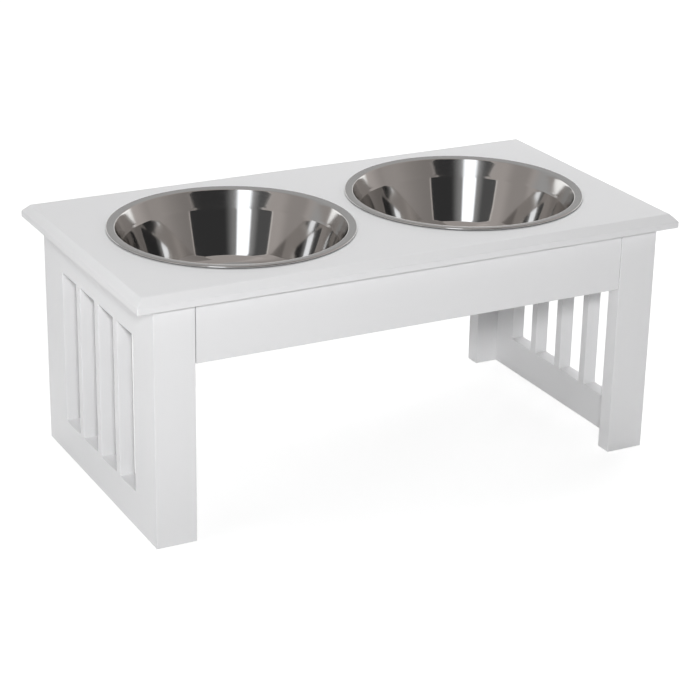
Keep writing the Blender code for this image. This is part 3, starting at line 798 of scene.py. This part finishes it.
def makeLamp(name, azimuth, elevation, distance, size, power):
    data = bpy.data.lights.new(name, "AREA")
    data.shape = "SQUARE"
    data.size = size
    data.energy = power
    lamp = linkObject(name, data)
    back = wayFrom(azimuth, elevation)
    lamp.location = Vector(studioLight["aim"]) + back * distance
    lamp.rotation_mode = "QUATERNION"
    lamp.rotation_quaternion = (-back).to_track_quat("-Z", "Y")
    lamp.visible_glossy = False
    lamp.visible_camera = False


# What the steel mirrors: a white tent, open at the front, where the dark room behind the camera
# and one tall window show. Angles are in degrees, azimuth 0 to the front and growing to the right.
room = {
    "dark": (0.042, 0.042, 0.043), "windowTone": (1.56, 1.62, 1.70), "window": (-45.5, -30.5, 1.4),
    "glow": 0.26, "glowTo": (-22.5, 6.5),  # the room is lighter towards the window
    "moreGlow": 0.06, "moreTo": (-45, 9), "leftGlow": 0.06, "leftTo": (-51, 5),
}
tent = {
    "cloth": (1.0, 0.925, 0.885), "level": 0.37,
    "patches": ((-84, -60, 7, 0.11), (-121, -109, 4, 0.10)),  # a band and how much lighter it is
    "right": (78, 12), "rightLevel": 0.16, "over": (-72.5, 60, 5), "overFrom": (39, 2), "overLevel": 0.09,
    "behind": (118, 8), "behindFrom": (11, 2), "behindTone": (0.44, 0.44, 0.44),
    "horizon": (94, 3), "horizonTo": (8.5, 1.5), "horizonGap": (-142, -80, 2),
    "horizonTone": (1.35, 1.35, 1.34),
    "openFrom": -68.5, "openTo": 60.0, "openTop": 38.0, "openSoft": 0.3, "openTopSoft": 0.4,
    "leanFrom": 18, "lean": 0.75,  # the opening's left edge leans in above this elevation
    "hem": 1.6, "hemTone": (0.72, 0.685, 0.66), "hemSoft": 0.25, "hemTopSoft": 0.3,
}
# The tent's front to the right of the opening, near enough that each bowl sees its edge elsewhere.
# Lengths in metres. Its edge leans in between the two lean heights.
nearWall = {
    "y": -0.93, "edge": 0.275, "end": 2.6, "foot": 0.3, "top": 2.2,
    "leanFoot": 0.62, "leanTop": 1.05, "lean": 0.42,
    "level": 0.27, "right": (0.8, 0.6), "rightLevel": 0.14, "hem": (0.022, 0.005), "hemLevel": 0.34,
}


def makeNearWall():
    y, edge, end, top = (nearWall[key] for key in ("y", "edge", "end", "top"))
    rise = nearWall["leanTop"] - nearWall["leanFoot"]
    leant = edge - rise * nearWall["lean"]
    outline = [(edge, nearWall["foot"]), (end, nearWall["foot"]), (end, top), (leant, top),
               (leant, nearWall["leanTop"]), (edge, nearWall["leanFoot"])]
    work = bmesh.new()
    work.faces.new([work.verts.new((x, y, z)) for x, z in outline])
    wall = linkObject("tentWall", meshOf(work, "tentWall"))
    material, net, place = startMaterial("tentCloth")
    x, _, z = net.split(place)
    fromEdge = x + (z - nearWall["leanFoot"]).most(0.0).least(rise) * nearWall["lean"] - edge
    level = nearWall["level"] + x.above(*nearWall["right"]) * nearWall["rightLevel"]
    level = level + fromEdge.below(*nearWall["hem"]) * nearWall["hemLevel"]
    cloth = net.blend(1.0, (*tent["cloth"], 1), net.join(level, level, level), "MULTIPLY")
    glow = net.add("ShaderNodeEmission", {"Color": cloth, "Strength": 1.0})
    net.end("ShaderNodeOutputMaterial", "Surface", glow)
    wall.data.materials.append(material)
    # it shows only in the steel
    wall.visible_camera = False
    wall.visible_diffuse = False
    wall.visible_shadow = False
    wall.visible_transmission = False


def makeWorld():
    world = bpy.data.worlds.new("studio")
    bpy.context.scene.world = world
    world.use_nodes = True
    world.node_tree.nodes.clear()
    net = Net(world.node_tree)
    x, y, z = net.split(net.add("ShaderNodeTexCoord", out="Generated"))
    azimuth = net.sums("ARCTAN2", x, -y) * (180 / pi)
    elevation = net.sums("ARCSINE", z) * (180 / pi)
    # the dark room and its window
    glow = azimuth.below(*room["glowTo"]) * room["glow"]
    glow = glow + azimuth.below(*room["moreTo"]) * room["moreGlow"]
    left = azimuth.below(*room["leftTo"])
    glow = glow * (1 - left) + left * room["leftGlow"]
    dark = net.blend(azimuth.inside(*room["window"]), (*room["dark"], 1), (*room["windowTone"], 1))
    dark = net.blend(1.0, dark, net.join(glow, glow, glow), "ADD")
    # the tent: lighter beside and over the opening and out to the right
    level = tent["level"] + azimuth.above(*tent["right"]) * tent["rightLevel"]
    level = level + azimuth.inside(*tent["over"]) * elevation.above(*tent["overFrom"]) * tent["overLevel"]
    for start, stop, soft, lighter in tent["patches"]:
        level = level + azimuth.inside(start, stop, soft) * lighter
    shown = net.blend(1.0, (*tent["cloth"], 1), net.join(level, level, level), "MULTIPLY")
    # grey high up behind, and white low down behind
    behind = abs(azimuth).above(*tent["behind"]) * elevation.above(*tent["behindFrom"])
    shown = net.blend(behind, shown, (*tent["behindTone"], 1))
    horizon = abs(azimuth).above(*tent["horizon"]) * elevation.below(*tent["horizonTo"])
    horizon = horizon * (1 - azimuth.inside(*tent["horizonGap"]))
    shown = net.blend(horizon, shown, (*tent["horizonTone"], 1))
    # the opening, with a light hem round it
    fromLeft = azimuth - (elevation - tent["leanFrom"]).most(0.0) * tent["lean"]

    def openingMask(wider, soft, topSoft):
        mask = fromLeft.above(tent["openFrom"] - wider, soft) * azimuth.below(tent["openTo"], soft)
        return mask * elevation.below(tent["openTop"] + wider, topSoft)

    hem = openingMask(tent["hem"], tent["hemSoft"], tent["hemTopSoft"])
    opening = openingMask(0.0, tent["openSoft"], tent["openTopSoft"])
    shown = net.blend(opening, net.blend(hem, shown, (*tent["hemTone"], 1)), dark)
    # only the steel sees the tent: the camera sees white, and everything else a little even light
    mirrored = net.add("ShaderNodeBackground", {"Color": shown, "Strength": 1.0})
    soft = net.add("ShaderNodeBackground", {"Color": (1, 1, 1, 1), "Strength": studioLight["soft"]})
    white = net.add("ShaderNodeBackground", {"Color": (1, 1, 1, 1), "Strength": 1.0})
    path = net.add("ShaderNodeLightPath")
    mixed = net.add("ShaderNodeMixShader", {0: path.out("Is Glossy Ray"), 1: soft, 2: mirrored})
    mixed = net.add("ShaderNodeMixShader", {0: path.out("Is Camera Ray"), 1: mixed, 2: white})
    net.end("ShaderNodeOutputWorld", "Surface", mixed)
    world.cycles.sampling_method = "NONE"


bpy.context.scene.view_settings.view_transform = "Standard"
makeCamera()
makeFloor()
makeWorld()
makeNearWall()
for name, lamp in lamps.items():
    makeLamp(name, **lamp)
print("camera, floor and light set")

boardPaint = whitePaint("paintAlongBoard", 0)
panelPaint = whitePaint("paintOnSides", 2, rails={
    "low": sidePanel["slotBottom"], "high": sidePanel["slotTop"], "reach": bottomRailBox[1].y})
panelTree = slottedPanelTree()
for side, sign in (("left", -1), ("right", 1)):
    makeSidePanel(side, sign, panelTree, panelPaint)
print("side panels made")

for end, way in (("front", -1), ("back", 1)):
    makeApron(end, way, boardPaint)
makeTopBoard(boardPaint)
print("aprons and top board made")

bowlTree = turnedTree()
for side in ("left", "right"):
    makeBowl(side, bowlTree, polishedSteel(side + "BowlSteel", bowlCentres[side]))
print("bowls turned")

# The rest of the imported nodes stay, with their own finishes
finishes = {
    "dowel": bareBeech("beechDowel"),
    "nut": grittyMetal("castZinc", castZinc),
    "bolt": grittyMetal("platedSteel", platedSteel),
}
for name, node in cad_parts.items():
    finish = finishes.get(name.split("_")[-1])
    if finish is not None and not node.hide_render:
        node.data.materials.clear()
        node.data.materials.append(finish)
print("carried nodes finished")
